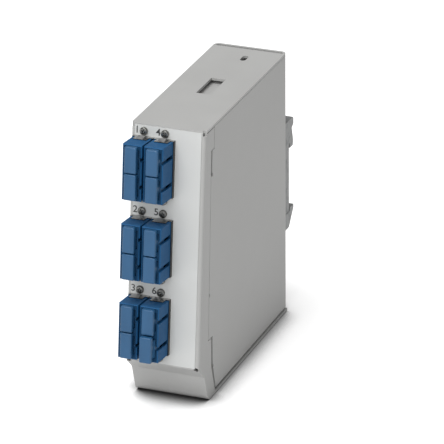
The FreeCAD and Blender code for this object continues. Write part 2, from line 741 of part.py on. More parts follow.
def make_adapter(row, column):
    """One duplex adapter: ports at both ends, ferrule barrels, key slots and a rear flange."""
    body = new_body("adapter_%d" % adapter_number(row, column))
    on_panel(body, column_x(column), row_down(row))
    rim = number("-adapter_front")
    sketch = sketch_on(body, "XZ_Plane", "adapter_front")
    centred(sketch, "0", "0", "adapter_wide", "adapter_tall")
    pad(body, sketch, "adapter_front + adapter_rear + " + BEHIND, back=True)
    dress(
        body,
        "Chamfer",
        "rim_bevel",
        lambda edge: all(abs(point.y - rim) < 1e-6 for point in corners_of(edge)),
    )
    sketch = sketch_on(body, "XZ_Plane", "-plate")
    centred(sketch, "0", "0", "adapter_wide", "flange_tall")
    pad(body, sketch, "flange_thick", back=True)
    half_notch = "(screw_radius + screw_gap)"
    for side in ("-", "+"):
        sketch = sketch_on(body, "XZ_Plane", "-plate")
        inner = "%s(screw_pitch / 2 - %s)" % (side, half_notch)
        outer = "%s(flange_tall / 2 + plate)" % side
        rectangle(sketch, "-" + half_notch, inner, half_notch, outer)
        pocket(body, sketch, "2 * flange_thick")

    # Ports from both ends, leaving the middle wall
    sketch = sketch_on(body, "XZ_Plane", "adapter_front")
    for up in port_places():
        centred(sketch, "0", up, "port_wide", "port_tall")
    pocket(body, sketch, "adapter_front + %s - port_wall / 2" % PORT_MIDDLE)
    sketch = sketch_on(body, "XZ_Plane", "-adapter_rear - " + BEHIND)
    for up in port_places():
        centred(sketch, "0", up, "port_wide", "port_tall")
    pocket(body, sketch, "adapter_rear + %s - %s - port_wall / 2" % (BEHIND, PORT_MIDDLE), back=True)

    # Ferrule barrels through the wall, with their bores
    sketch = sketch_on(body, "XZ_Plane", "-" + PORT_MIDDLE)
    for up in port_places():
        polygon(sketch, "0", up, "barrel_radius", BARREL_SIDES)
    pad(body, sketch, "port_wall + 2 * barrel_reach", midplane=True)
    sketch = sketch_on(body, "XZ_Plane", "-" + PORT_MIDDLE)
    for up in port_places():
        polygon(sketch, "0", up, "sleeve_radius + sleeve_play", BARREL_SIDES)
    pocket(body, sketch, "4 * barrel_reach", midplane=True)

    # Key slots in the right side wall, from the front rim and from the rear one
    sketch = sketch_on(body, "YZ_Plane", "adapter_wide / 2")
    for up in port_places():
        rectangle(
            sketch,
            "-adapter_front - plate",
            up + " - key_wide / 2",
            "-adapter_front + key_long",
            up + " + key_wide / 2",
        )
        rectangle(
            sketch,
            BEHIND + " + adapter_rear - key_long / 2",
            up + " - key_wide / 2",
            BEHIND + " + adapter_rear + plate",
            up + " + key_wide / 2",
        )
    pocket(body, sketch, "(adapter_wide - port_wide) / 2")
    return body


def make_adapter_clip(row, column):
    """Spring steel band round an adapter in front of the panel, with a tongue at each end."""
    body = new_body("adapter_clip_%d" % adapter_number(row, column))
    on_panel(body, column_x(column), row_down(row))
    inner = ("adapter_wide + 2 * clip_gap", "adapter_tall + 2 * clip_gap")
    outer = ("%s + 2 * clip_thick" % inner[0], "%s + 2 * clip_thick" % inner[1])
    sketch = sketch_on(body, "XZ_Plane", "label_thick + clip_gap")
    centred(sketch, "0", "0", *outer)
    centred(sketch, "0", "0", *inner)
    pad(body, sketch, "clip_band")
    end = "(adapter_tall / 2 + clip_gap)"
    near = "(-label_thick - clip_gap)"
    for sign in ("", "-"):
        low = sign + end
        high = sign + "(%s + clip_thick)" % end
        sketch = sketch_on(body, "YZ_Plane")
        rectangle(sketch, near + " - clip_long", low, near + " - clip_band / 2", high)
        pad(body, sketch, "clip_wide", midplane=True)
        lifted = sign + "(%s + clip_lift)" % end
        tip = sign + "(%s + clip_lift + clip_thick)" % end
        sketch = sketch_on(body, "YZ_Plane")
        outline(
            sketch,
            (
                (near + " - clip_long", low),
                (near + " - clip_long", high),
                (near + " - 1.4 * clip_band", tip),
                (near + " - 1.4 * clip_band", lifted),
            ),
        )
        pad(body, sketch, "clip_wide / 2", midplane=True)
    return body


def pan_screw(name, radius, long, head, tall):
    """A pan head screw along Y, its head towards -Y, with a cross recess and a six-sided shank."""
    body = new_body(name)
    sketch = sketch_on(body, "XZ_Plane")
    polygon(sketch, "0", "0", head, HEAD_SIDES)
    pad(body, sketch, tall)
    sketch = sketch_on(body, "XZ_Plane")
    polygon(sketch, "0", "0", radius, 6)
    pad(body, sketch, long, back=True)
    arm = "0.5 * (%s)" % head
    half = "0.12 * (%s)" % head
    sketch = sketch_on(body, "XZ_Plane", tall)
    cross(sketch, arm, half)
    pocket(body, sketch, "0.5 * (%s)" % tall)
    return body


def cross(sketch, arm, half):
    """The twelve corners of a cross recess."""
    quarter = ((half, arm), (half, half), (arm, half))
    points = []
    for turn in range(4):
        for u, v in quarter:
            spots = ((u, v), (v, "-" + u), ("-" + u, "-" + v), ("-" + v, u))
            points.append(spots[turn])
    outline(sketch, points)


def make_adapter_screws():
    """Twelve small pan head screws through the panel into the adapter flanges."""
    master = pan_screw("panel_screw", "screw_radius", "screw_long", "screw_head", "screw_head_tall")
    spots = []
    for row, column in ADAPTERS:
        for side in ("-", "+"):
            down = "%s %s screw_pitch / 2" % (row_down(row), side)
            spots.append((column_x(column), down, "label_thick"))
    return group("adapter_screws", master, on_panel, spots)


def make_split_sleeves():
    """Twelve slit ceramic sleeves in the adapters' barrels."""
    master = new_body("sleeve")
    sketch = sketch_on(master, "XZ_Plane")
    polygon(sketch, "0", "0", "sleeve_radius", SLEEVE_SIDES)
    polygon(sketch, "0", "0", "sleeve_bore", SLEEVE_SIDES)
    pad(master, sketch, "sleeve_long", midplane=True)
    sketch = sketch_on(master, "XZ_Plane")
    rectangle(sketch, "-sleeve_slit / 2", "0", "sleeve_slit / 2", "2 * sleeve_radius")
    pocket(master, sketch, "2 * sleeve_long", midplane=True)
    spots = []
    for row, column in ADAPTERS:
        for up in port_places():
            down = "%s - (%s)" % (row_down(row), up)
            spots.append((column_x(column), down, "-" + PORT_MIDDLE))
    return group("split_sleeves", master, on_panel, spots)


def make_dust_cap(row, column, lower):
    """One dust cap: a bevelled block head and a bored plug that slides into the port."""
    name = "lower" if lower else "upper"
    body = new_body("dust_cap_%d_%s" % (adapter_number(row, column), name))
    up = port_places()[1 if lower else 0]
    out = "adapter_front"
    if (row, column, lower) == PULLED_CAP:
        out = "adapter_front + cap_pulled"
    on_panel(body, column_x(column), "%s - (%s)" % (row_down(row), up), out)
    sketch = sketch_on(body, "XZ_Plane", "cap_seat")
    centred(sketch, "0", "0", "cap_wide", "cap_tall")
    pad(body, sketch, "cap_thick")
    face = number("-cap_seat - cap_thick")
    dress(
        body,
        "Chamfer",
        "cap_bevel",
        lambda edge: all(abs(point.y - face) < 1e-6 for point in corners_of(edge)),
    )
    sketch = sketch_on(body, "XZ_Plane", "cap_seat")
    centred(sketch, "0", "0", "port_wide - 2 * cap_play", "port_tall - 2 * cap_play")
    pad(body, sketch, "cap_seat + cap_plug", back=True)
    sketch = sketch_on(body, "XZ_Plane", "-cap_plug")
    centred(sketch, "0", "0", "cap_hollow", "cap_hollow")
    pocket(body, sketch, "cap_plug", back=True)
    return body


def make_rail_foot():
    """Foot plate with the fixed hook over the rail's upper lip and a channel for the latch."""
    body = new_body("rail_foot")
    rear = "(%s + foot_thick)" % BACK
    tip_low = "(%s - hook_tip)" % RAIL_HIGH
    sketch = sketch_on(body, "YZ_Plane")
    outline(
        sketch,
        (
            (BACK, "rail_low + latch_play"),
            (rear, "rail_low + latch_play"),
            (rear, RAIL_HIGH),
            (rear + " + rail_lip", RAIL_HIGH),
            (rear + " + rail_lip", tip_low),
            (rear + " + hook_reach - hook_bevel", tip_low),
            (rear + " + hook_reach - hook_bevel / 2", tip_low + " + hook_tip"),
            (rear + " + hook_reach - waist", "(%s + hook_tip + foot_top) / 2 - waist / 4" % RAIL_HIGH),
            (rear + " + hook_reach", "(%s + hook_tip + foot_top) / 2 + waist / 2" % RAIL_HIGH),
            (rear + " + hook_reach", "foot_top - hook_bevel"),
            (rear + " + hook_reach - hook_bevel", "foot_top"),
            (BACK, "foot_top"),
        ),
    )
    pad(body, sketch, "foot_wide", midplane=True)
    sketch = sketch_on(body, "XZ_Plane", "-" + BACK)
    rectangle(
        sketch,
        "-tongue_wide / 2 - latch_play",
        "rail_low",
        "tongue_wide / 2 + latch_play",
        "channel_top",
    )
    pocket(body, sketch, "tongue_thick + latch_play")
    sinks(body, FOOT_SCREWS, "XZ_Plane", "-%s - foot_thick" % BACK, True, Y_AXIS, rear)
    return body


def make_rail_latch():
    """Sprung latch: a wedge nose behind the rail's lower lip, a tongue in the foot and a pull tab."""
    body = new_body("rail_latch")
    face = "(%s + latch_play / 2)" % BACK
    rear = "(%s + foot_thick)" % BACK
    sketch = sketch_on(body, "YZ_Plane")
    outline(
        sketch,
        (
            (face, "latch_low"),
            (rear, "latch_low"),
            (rear + " + hook_reach", "rail_low"),
            (rear + " + hook_reach", "rail_low + latch_tip"),
            (rear + " + rail_lip", "rail_low + latch_tip"),
            (rear + " + rail_lip", "rail_low"),
            (face, "rail_low"),
        ),
    )
    pad(body, sketch, "foot_wide", midplane=True)
    sketch = sketch_on(body, "XZ_Plane", "-" + face)
    rectangle(sketch, "-tongue_wide / 2", "latch_low", "tongue_wide / 2", "rail_low + tongue_long")
    pad(body, sketch, "tongue_thick", back=True)
    sketch = sketch_on(body, "XZ_Plane", "-" + face)
    rectangle(sketch, "-pull_wide / 2", "latch_low - pull_long", "pull_wide / 2", "latch_low + plate")
    pad(body, sketch, "tongue_thick", back=True)
    sketch = sketch_on(body, "XZ_Plane", "-" + face)
    centred(sketch, "0", "latch_low - pull_long / 2", "pull_wide / 2", "pull_long / 3")
    pocket(body, sketch, "2 * foot_thick")
    return body


def make_latch_spring():
    """Flat meander spring between the latch tongue and the end of the channel."""
    body = new_body("latch_spring")
    low = "(rail_low + tongue_long + spring_gap)"
    step = "((channel_top - spring_gap - spring_band - %s) / %d)" % (low, SPRING_BARS - 1)
    far = "(spring_wide / 2)"
    near = "(spring_wide / 2 - spring_band)"
    rising = []
    falling = []
    for bar in range(SPRING_BARS):
        under = "(%s + %d * %s)" % (low, bar, step)
        over = "(%s + spring_band)" % under
        if bar == 0:
            rising.append((far, under))
            falling.append(("-" + far, under))
        elif bar % 2:
            falling += [("-" + far, last_over), (near, last_over), (near, under), ("-" + far, under)]
        else:
            rising += [(far, last_over), ("-" + near, last_over), ("-" + near, under), (far, under)]
        last_over = over
    rising.append((far, last_over))
    falling.append(("-" + far, last_over))
    sketch = sketch_on(body, "XZ_Plane", "-(%s + (tongue_thick + latch_play) / 2)" % BACK)
    outline(sketch, rising + falling[::-1])
    pad(body, sketch, "spring_thick", midplane=True)
    return body


def sunk_screw(name, long):
    """A countersunk screw along +Z, its head at the bottom, with a cross recess."""
    body = new_body(name)
    sketch = sketch_on(body, "XY_Plane")
    polygon(sketch, "0", "0", "sunk_head", HEAD_SIDES)
    pad(body, sketch, "sunk_tall")
    under = number("sunk_tall")
    dress(
        body,
        "Chamfer",
        "0.9 * sunk_tall",
        lambda edge: all(abs(point.z - under) < 1e-6 for point in corners_of(edge)),
    )
    sketch = sketch_on(body, "XY_Plane")
    polygon(sketch, "0", "0", "sunk_radius", 6)
    pad(body, sketch, long)
    sketch = sketch_on(body, "XY_Plane")
    cross(sketch, "0.5 * sunk_head", "0.12 * sunk_head")
    pocket(body, sketch, "0.6 * sunk_tall", back=True)
    return body


def make_base_screws():
    """Countersunk screws up through the bottom plate."""
    master = sunk_screw("base_screw", "base_screw_long")
    return group("base_screws", master, place, BASE_SCREWS)


def make_foot_screws():
    """Countersunk screws through the rail foot into the back."""
    master = sunk_screw("foot_screw", "foot_screw_long")
    rear = BACK + " + foot_thick"
    spots = [(x, rear, z, X_AXIS, "90") for x, z in FOOT_SCREWS]
    return group("foot_screws", master, place, spots)


def make_tray_bracket():
    """Angle bracket beside the right side of the cover, which carries the tray."""
    body = new_body("tray_bracket")
    outside = "(%s - bracket_gap)" % WALL
    sketch = sketch_on(body, "YZ_Plane", outside + " - plate")
    rectangle(sketch, FRONT + " + bracket_front", "plate", FRONT + " + bracket_back", "bracket_high")
    pad(body, sketch, "plate")
    sketch = sketch_on(body, "XY_Plane", "plate")
    rectangle(
        sketch,
        outside + " - bracket_foot_wide",
        FRONT + " + bracket_front",
        outside + " - plate / 2",
        FRONT + " + bracket_foot_back",
    )
    pad(body, sketch, "plate")
    sketch = sketch_on(body, "YZ_Plane", outside)
    for y, z in TRAY_SCREWS:
        circle(sketch, y, z, "sunk_radius + screw_gap")
    pocket(body, sketch, "2 * plate")
    return body


def make_tray_standoffs():
    """Two hexagonal standoffs between the bracket and the tray."""
    master = new_body("standoff")
    sketch = sketch_on(master, "YZ_Plane")
    polygon(sketch, "0", "0", "standoff_radius", 6)
    polygon(sketch, "0", "0", "sunk_radius + screw_gap", 6)
    pad(master, sketch, "standoff_long")
    return group("tray_standoffs", master, place, [(TRAY_X, y, z) for y, z in TRAY_SCREWS])


def make_splice_tray():
    """Shallow moulded tray standing on edge, open towards the left, with fibre entries."""
    body = new_body("splice_tray")
    y0 = FRONT + " + tray_front"
    y1 = FRONT + " + tray_front + tray_wide"
    sketch = sketch_on(body, "YZ_Plane", TRAY_X)
    rectangle(sketch, y0, "tray_low", y1, "tray_low + tray_long")
    pad(body, sketch, "tray_deep", back=True)
    dress(body, "Fillet", "tray_round", lambda edge: runs_along(edge, X_AXIS))
    walls(body, "tray_wall", faces_along(X_AXIS, TRAY_X + " - tray_deep"))
    sketch = sketch_on(body, "XY_Plane", "tray_low - tray_wall")
    for y in (y0 + " + tray_round + entry_wide / 2", y1 + " - tray_round - entry_wide / 2"):
        centred(sketch, TRAY_X + " - tray_deep", y, "tray_deep", "entry_wide")
    pocket(body, sketch, "tray_long + 4 * tray_wall", back=True)
    sketch = sketch_on(body, "YZ_Plane", TRAY_X)
    for y, z in TRAY_SCREWS:
        circle(sketch, y, z, "sunk_radius + screw_gap")
    pocket(body, sketch, "2 * tray_wall")
    return body


def make_tray_lid():
    """Flat snap lid with a rim that locates inside the tray's walls."""
    body = new_body("tray_lid")
    y0 = FRONT + " + tray_front"
    y1 = FRONT + " + tray_front + tray_wide"
    open_side = "(%s - tray_deep)" % TRAY_X
    inset = "(tray_wall + lid_play)"
    sketch = sketch_on(body, "YZ_Plane", open_side + " - lid_thick")
    rectangle(sketch, y0, "tray_low", y1, "tray_low + tray_long")
    pad(body, sketch, "lid_thick")
    dress(body, "Fillet", "tray_round", lambda edge: runs_along(edge, X_AXIS))
    sketch = sketch_on(body, "YZ_Plane", open_side)
    rectangle(
        sketch,
        "%s + %s" % (y0, inset),
        "tray_low + tray_round",
        "%s + %s + lid_thick" % (y0, inset),
        "tray_low + tray_long - tray_round",
    )
    rectangle(
        sketch,
        "%s - %s - lid_thick" % (y1, inset),
        "tray_low + tray_round",
        "%s - %s" % (y1, inset),
        "tray_low + tray_long - tray_round",
    )
    pad(body, sketch, "lid_thick")
    return body


def make_splice_comb():
    """Moulded comb that grips the splice protectors, on the tray's floor."""
    body = new_body("splice_comb")
    floor = "(%s - tray_wall)" % TRAY_X
    middle = "(tray_low + tray_long / 2)"
    points = [(floor, middle + " + comb_long / 2"), (floor, middle + " - comb_long / 2")]
    for slot in range(COMB_SLOTS):
        centre = "(%s + %.1f * comb_pitch)" % (middle, slot - (COMB_SLOTS - 1) / 2)
        low = "%s - (comb_pitch - comb_rib) / 2" % centre
        high = "%s + (comb_pitch - comb_rib) / 2" % centre
        if slot == 0:
            points.append((floor + " - comb_tall", middle + " - comb_long / 2"))
        points.append((floor + " - comb_tall", low))
        points.append((floor + " - comb_base", low))
        points.append((floor + " - comb_base", high))
        points.append((floor + " - comb_tall", high))
    points.append((floor + " - comb_tall", middle + " + comb_long / 2"))
    sketch = sketch_on(body, "XZ_Plane", "-(%s + tray_front + tray_wide / 2)" % FRONT)
    outline(sketch, points)
    pad(body, sketch, "comb_wide", midplane=True)
    return body


def make_tray_screws():
    """Two pan head screws through the tray and the standoffs into the bracket."""
    long = "tray_wall + standoff_long + plate"
    master = pan_screw("tray_screw", "sunk_radius", long, "sunk_head", "sunk_radius")
    floor = TRAY_X + " - tray_wall"
    spots = [(floor, y, z, Z_AXIS, "-90") for y, z in TRAY_SCREWS]
    return group("tray_screws", master, place, spots)


def make_strain_bar():
    """Upright bar beside the cable hole, with slots for the ties that hold the cable."""
    body = new_body("strain_bar")
    left = "(-bar_left)"
    right = "(-bar_left + bar_wide)"
    rear = "(%s + bar_front + bar_foot)" % FRONT
    sketch = sketch_on(body, "XY_Plane", "plate")
    rectangle(sketch, left, FRONT + " + bar_front", right, rear)
    pad(body, sketch, "plate")
    sketch = sketch_on(body, "XZ_Plane", "-%s + plate" % rear)
    rectangle(sketch, left, "plate", right, "bar_high")
    pad(body, sketch, "plate", back=True)
    sketch = sketch_on(body, "XZ_Plane", "-" + rear)
    for share in ("0.5", "0.75"):
        centred(sketch, "(%s + %s) / 2" % (left, right), share + " * bar_high", "tie_wide", "tie_tall")
    pocket(body, sketch, "2 * plate", back=True)
    return body


nodes = [make_chassis(), make_cover(), make_front_label()]
for row, column in ADAPTERS:
    nodes.append(make_adapter(row, column))
    nodes.append(make_adapter_clip(row, column))
    nodes.append(make_dust_cap(row, column, lower=False))
    nodes.append(make_dust_cap(row, column, lower=True))
nodes += [make_adapter_screws(), make_split_sleeves()]
nodes += [make_rail_foot(), make_rail_latch(), make_latch_spring()]
nodes += [make_base_screws(), make_foot_screws()]
nodes += [make_tray_bracket(), make_tray_standoffs(), make_splice_tray(), make_tray_lid()]
nodes += [make_splice_comb(), make_tray_screws(), make_strain_bar()]

# Every object and every node is sound before anything is written
doc.recompute()
for thing in doc.Objects:
    if "Invalid" in thing.State or "Error" in thing.State:
        raise RuntimeError("%s is in a bad state" % thing.Name)
os.makedirs("parts", exist_ok=True)
for node in nodes:
    if node.Shape.isNull() or not node.Shape.isValid():
        raise RuntimeError("%s has no valid shape" % node.Label)
    node.Shape.exportStep("parts/%s.step" % node.Label)
    print(node.Label, len(node.Shape.Solids), "solids, volume %.1f" % node.Shape.Volume)
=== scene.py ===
"""Looks of a narrow sheet metal fibre box for a 35 mm rail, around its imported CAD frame."""

import logging
import math
from dataclasses import dataclass, field
from enum import Enum
from typing import Any, Dict, List, Optional, Sequence, Tuple, Union

import bpy
import numpy as np
from mathutils import Matrix, Quaternion, Vector

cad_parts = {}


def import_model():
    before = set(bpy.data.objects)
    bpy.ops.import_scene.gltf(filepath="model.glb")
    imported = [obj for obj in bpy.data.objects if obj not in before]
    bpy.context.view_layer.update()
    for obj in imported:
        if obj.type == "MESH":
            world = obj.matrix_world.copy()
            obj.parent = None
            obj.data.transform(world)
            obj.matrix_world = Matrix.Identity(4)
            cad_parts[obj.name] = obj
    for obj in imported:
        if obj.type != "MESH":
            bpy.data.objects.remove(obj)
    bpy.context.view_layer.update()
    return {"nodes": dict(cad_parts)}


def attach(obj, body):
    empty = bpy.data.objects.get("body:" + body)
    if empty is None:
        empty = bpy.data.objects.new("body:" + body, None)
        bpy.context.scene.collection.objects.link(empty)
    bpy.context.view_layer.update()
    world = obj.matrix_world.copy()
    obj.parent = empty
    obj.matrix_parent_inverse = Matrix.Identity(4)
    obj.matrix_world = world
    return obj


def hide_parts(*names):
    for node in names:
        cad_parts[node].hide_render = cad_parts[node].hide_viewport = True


log = logging.getLogger("fibre_box")

Colour = Tuple[float, float, float]
Point = Tuple[float, float, float]
Range = Tuple[float, float]

# A Mix node's colour sockets and number sockets share their names, so they go by number
COLOUR_A, COLOUR_B, COLOUR_OUT = 6, 7, 2
NUMBER_MASK, NUMBER_A, NUMBER_B, NUMBER_OUT = 0, 2, 3, 0

SHARP_ANGLE = math.radians(40)
SMALLEST_SINE = 1e-6


# Shader graph


class Value:
    """A shader socket that Python's operators work on; each operator adds a Math node."""

    def __init__(self, graph: "Graph", socket: bpy.types.NodeSocket) -> None:
        """Keep the graph that the socket belongs to, and the socket."""
        self.graph = graph
        self.socket = socket

    def _math(self, operation: str, other: Union[float, "Value"], swapped: bool = False) -> "Value":
        """Combine with another value.

        Args:
            operation: the Math node's operation.
            other: a number or another value.
            swapped: True where the other one comes first.

        Returns:
            The result's socket.
        """
        first, second = (other, self) if swapped else (self, other)
        return self.graph.add("ShaderNodeMath", {"operation": operation}, first, second)

    def __add__(self, other: Union[float, "Value"]) -> "Value":
        """Sum."""
        return self._math("ADD", other)

    def __radd__(self, other: float) -> "Value":
        """Sum with a number first."""
        return self._math("ADD", other, True)

    def __sub__(self, other: Union[float, "Value"]) -> "Value":
        """Difference."""
        return self._math("SUBTRACT", other)

    def __rsub__(self, other: float) -> "Value":
        """Difference with a number first."""
        return self._math("SUBTRACT", other, True)

    def __mul__(self, other: Union[float, "Value"]) -> "Value":
        """Product."""
        return self._math("MULTIPLY", other)

    def __rmul__(self, other: float) -> "Value":
        """Product with a number first."""
        return self._math("MULTIPLY", other, True)

    def between(self, low: float, high: float) -> "Value":
        """Smooth step from 0 at low to 1 at high."""
        settings = {"interpolation_type": "SMOOTHSTEP"}
        return self.graph.add("ShaderNodeMapRange", settings, self, low, high)


class Graph:
    """The nodes of one material, ending in its Principled shader."""

    def __init__(self, name: str) -> None:
        """Make the material with a Principled shader on its output."""
        self.material = bpy.data.materials.new(name)
        self.material.use_nodes = True
        self.tree = self.material.node_tree
        self.tree.nodes.clear()
        self.output = self.tree.nodes.new("ShaderNodeOutputMaterial")
        self.shader = self.tree.nodes.new("ShaderNodeBsdfPrincipled")
        self.tree.links.new(self.shader.outputs[0], self.output.inputs[0])

    def add(
        self,
        kind: str,
        settings: Optional[Dict[str, Any]] = None,
        *inputs: Any,
        output: Union[int, str] = 0,
        **named: Any,
    ) -> Value:
        """Add a node.

        Args:
            kind: the node's type.
            settings: attributes set before its sockets.
            inputs: values or links of its sockets, in order.
            output: the output that the returned value reads.
            named: values or links of sockets by name.

        Returns:
            The chosen output.
        """
        node = self.tree.nodes.new(kind)
        for name, setting in (settings or {}).items():
            setattr(node, name, setting)
        sockets: List[Tuple[Any, Any]] = list(zip(node.inputs, inputs))
        sockets += [(node.inputs[name], value) for name, value in named.items()]
        for socket, value in sockets:
            self.join(socket, value)
        return Value(self, node.outputs[output])

    def join(self, socket: bpy.types.NodeSocket, value: Any) -> None:
        """Link a value to a socket, or set the socket to a constant.

        Args:
            socket: the socket that takes it.
            value: a Value, or a constant.
        """
        if isinstance(value, Value):
            self.tree.links.new(value.socket, socket)
        else:
            socket.default_value = value

    def set(self, name: str, value: Any) -> None:
        """Set or link one of the Principled shader's sockets."""
        self.join(self.shader.inputs[name], value)

    def where(self, stretch: Point = (1.0, 1.0, 1.0)) -> Value:
        """Object coordinates, stretched along the axes."""
        place = self.add("ShaderNodeTexCoord", output="Object")
        return self.add("ShaderNodeMapping", None, place, Scale=stretch)

    def noise(self, place: Value, size: float, detail: float = 2.0) -> Value:
        """Noise between 0 and 1 with features of a size in metres."""
        return self.add("ShaderNodeTexNoise", None, place, Scale=1.0 / size, Detail=detail)

    def tint(self, colour: Any, other: Colour, mask: Value) -> Value:
        """A colour that turns to another where the mask is 1.

        Args:
            colour: a colour, or a value of one.
            other: the colour that it turns to.
            mask: 0 for the first, 1 for the other.

        Returns:
            The mixed colour.
        """
        node = self.tree.nodes.new("ShaderNodeMix")
        node.data_type = "RGBA"
        self.join(node.inputs["Factor"], mask)
        first = colour if isinstance(colour, Value) else (*colour[:3], 1.0)
        self.join(node.inputs[COLOUR_A], first)
        self.join(node.inputs[COLOUR_B], (*other, 1.0))
        return Value(self, node.outputs[COLOUR_OUT])

    def bump(self, tall: Value, depth: float, strength: float = 1.0) -> None:
        """Raise the surface by a height field, in metres."""
        normal = self.add("ShaderNodeBump", None, Strength=strength, Distance=depth, Height=tall)
        self.set("Normal", normal)


def scaled(colour: Colour, share: float) -> Colour:
    """The colour made darker or lighter by a share."""
    return tuple(min(1.0, channel * share) for channel in colour)


@dataclass(frozen=True)
class Coat:
    """Powder coat on sheet metal: fine orange peel, faint clouding."""

    name: str
    colour: Colour
    peel: float = 0.00045
    depth: float = 0.00002
    roughness: float = 0.48
    shine: float = 0.4
    cloud_size: float = 0.03
    cloud_range: Range = (0.35, 0.7)
    cloud_shares: Range = (0.975, 1.02)
    cloud_rough: float = 0.06
    speck_size: float = 0.0006
    speck_range: Range = (0.62, 0.75)
    speck_rough: float = 0.08
    coarse_share: float = 0.6
    coarse_size: float = 2.7
    relief: float = 0.7

    def material(self) -> bpy.types.Material:
        """Make the coat's material.

        Returns:
            The material.
        """
        graph = Graph(self.name)
        place = graph.where()
        cloud = graph.noise(place, self.cloud_size).between(*self.cloud_range)
        speck = graph.noise(place, self.speck_size, 3.0).between(*self.speck_range)
        dark, light = (scaled(self.colour, share) for share in self.cloud_shares)
        graph.set("Base Color", graph.tint(dark, light, cloud))
        rough = self.roughness + self.cloud_rough * cloud - self.speck_rough * speck
        graph.set("Roughness", rough)
        graph.set("Specular IOR Level", self.shine)
        fine = graph.noise(place, self.peel, 2.0)
        coarse = graph.noise(place, self.coarse_size * self.peel)
        graph.bump(fine + self.coarse_share * coarse, self.depth, self.relief)
        return graph.material


@dataclass(frozen=True)
class Moulded:
    """Injection moulded plastic: fine spark-eroded grain and slight flow clouding."""

    name: str
    colour: Colour
    roughness: float = 0.36
    grain: float = 0.0003
    depth: float = 0.000012
    shine: float = 0.5
    # share of the colour on faces that look to the front: painted shade; 1.0 leaves none
    rim: float = 1.0
    rim_range: Range = (0.93, 0.99)
    flow_stretch: Point = (1.0, 1.0, 0.35)
    flow_size: float = 0.006
    flow_range: Range = (0.3, 0.75)
    flow_shares: Range = (0.93, 1.06)
    mottle: float = 0.07
    mottle_size: float = 0.0011
    relief: float = 0.6

    def material(self) -> bpy.types.Material:
        """Make the plastic's material; faces that look to the front are darkened to a share of the
        colour, a painted shade.

        Returns:
            The material.
        """
        graph = Graph(self.name)
        place = graph.where()
        stretched = graph.where(self.flow_stretch)
        flow = graph.noise(stretched, self.flow_size).between(*self.flow_range)
        dark, light = (scaled(self.colour, share) for share in self.flow_shares)
        colour = graph.tint(dark, light, flow)
        # painted shade: faces that look to the front, the rim around the caps, take a darker share
        # of the colour
        if self.rim < 1.0:
            facing = graph.add("ShaderNodeNewGeometry", output="Normal")
            ahead = -1.0 * graph.add("ShaderNodeSeparateXYZ", None, facing, output="Y")
            front = ahead.between(*self.rim_range)
            colour = graph.tint(colour, scaled(self.colour, self.rim), front)
        graph.set("Base Color", colour)
        graph.set("Roughness", self.roughness + self.mottle * graph.noise(place, self.mottle_size))
        graph.set("Specular IOR Level", self.shine)
        graph.bump(graph.noise(place, self.grain, 2.0), self.depth, self.relief)
        return graph.material


@dataclass(frozen=True)
class Steel:
    """Bare or plated metal with drawing streaks along an axis."""

    name: str
    colour: Colour
    roughness: float = 0.3
    streak: Point = (1.0, 1.0, 0.04)
    metallic: float = 1.0
    # share by which faces that look up are lighter: a painted highlight; 1.0 leaves none
    upward: float = 1.0
    upward_range: Range = (0.6, 0.95)
    line_size: float = 0.00025
    line_rough: float = 0.16
    line_depth: float = 0.000008
    tarnish_size: float = 0.0035
    tarnish_range: Range = (0.45, 0.75)
    tarnish_share: float = 0.72
    tarnish_cover: float = 0.8
    tarnish_rough: float = 0.08
    relief: float = 0.5

    def material(self) -> bpy.types.Material:
        """Make the metal's material; faces that look up are made lighter by a share, a painted
        highlight.

        Returns:
            The material.
        """
        graph = Graph(self.name)
        lines = graph.noise(graph.where(self.streak), self.line_size, 3.0)
        tarnish = graph.noise(graph.where(), self.tarnish_size).between(*self.tarnish_range)
        colour: Any = (*self.colour, 1.0)
        # painted highlight: faces that look up are made lighter by the share
        if self.upward > 1.0:
            facing = graph.add("ShaderNodeNewGeometry", output="Normal")
            height = graph.add("ShaderNodeSeparateXYZ", None, facing, output="Z")
            up = height.between(*self.upward_range)
            colour = graph.tint(self.colour, scaled(self.colour, self.upward), up)
        dull = scaled(self.colour, self.tarnish_share)
        graph.set("Base Color", graph.tint(colour, dull, self.tarnish_cover * tarnish))
        rough = self.roughness + self.line_rough * lines + self.tarnish_rough * tarnish
        graph.set("Roughness", rough)
        graph.set("Metallic", self.metallic)
        graph.bump(lines, self.line_depth, self.relief)
        return graph.material


@dataclass(frozen=True)
class Ink:
    """Screen printed ink, slightly uneven."""

    name: str
    colour: Colour
    roughness: float = 0.5
    thin_size: float = 0.0004
    thin_range: Range = (0.55, 0.8)
    thin_share: float = 2.2
    thin_rough: float = 0.1

    def material(self) -> bpy.types.Material:
        """Make the ink's material.

        Returns:
            The material.
        """
        graph = Graph(self.name)
        thin = graph.noise(graph.where(), self.thin_size).between(*self.thin_range)
        graph.set("Base Color", graph.tint(self.colour, scaled(self.colour, self.thin_share), thin))
        graph.set("Roughness", self.roughness + self.thin_rough * thin)
        return graph.material


@dataclass(frozen=True)
class Clear:
    """Clear moulded sheet."""

    name: str
    colour: Colour
    roughness: float = 0.06
    clearness: float = 0.9
    bending: float = 1.49
    haze_size: float = 0.004
    haze_range: Range = (0.4, 0.8)
    haze_share: float = 0.94
    haze_rough: float = 0.08

    def material(self) -> bpy.types.Material:
        """Make the clear sheet's material.

        Returns:
            The material.
        """
        graph = Graph(self.name)
        haze = graph.noise(graph.where(), self.haze_size).between(*self.haze_range)
        graph.set("Base Color", graph.tint(self.colour, scaled(self.colour, self.haze_share), haze))
        graph.set("Roughness", self.roughness + self.haze_rough * haze)
        graph.set("Transmission Weight", self.clearness)
        graph.set("IOR", self.bending)
        return graph.material


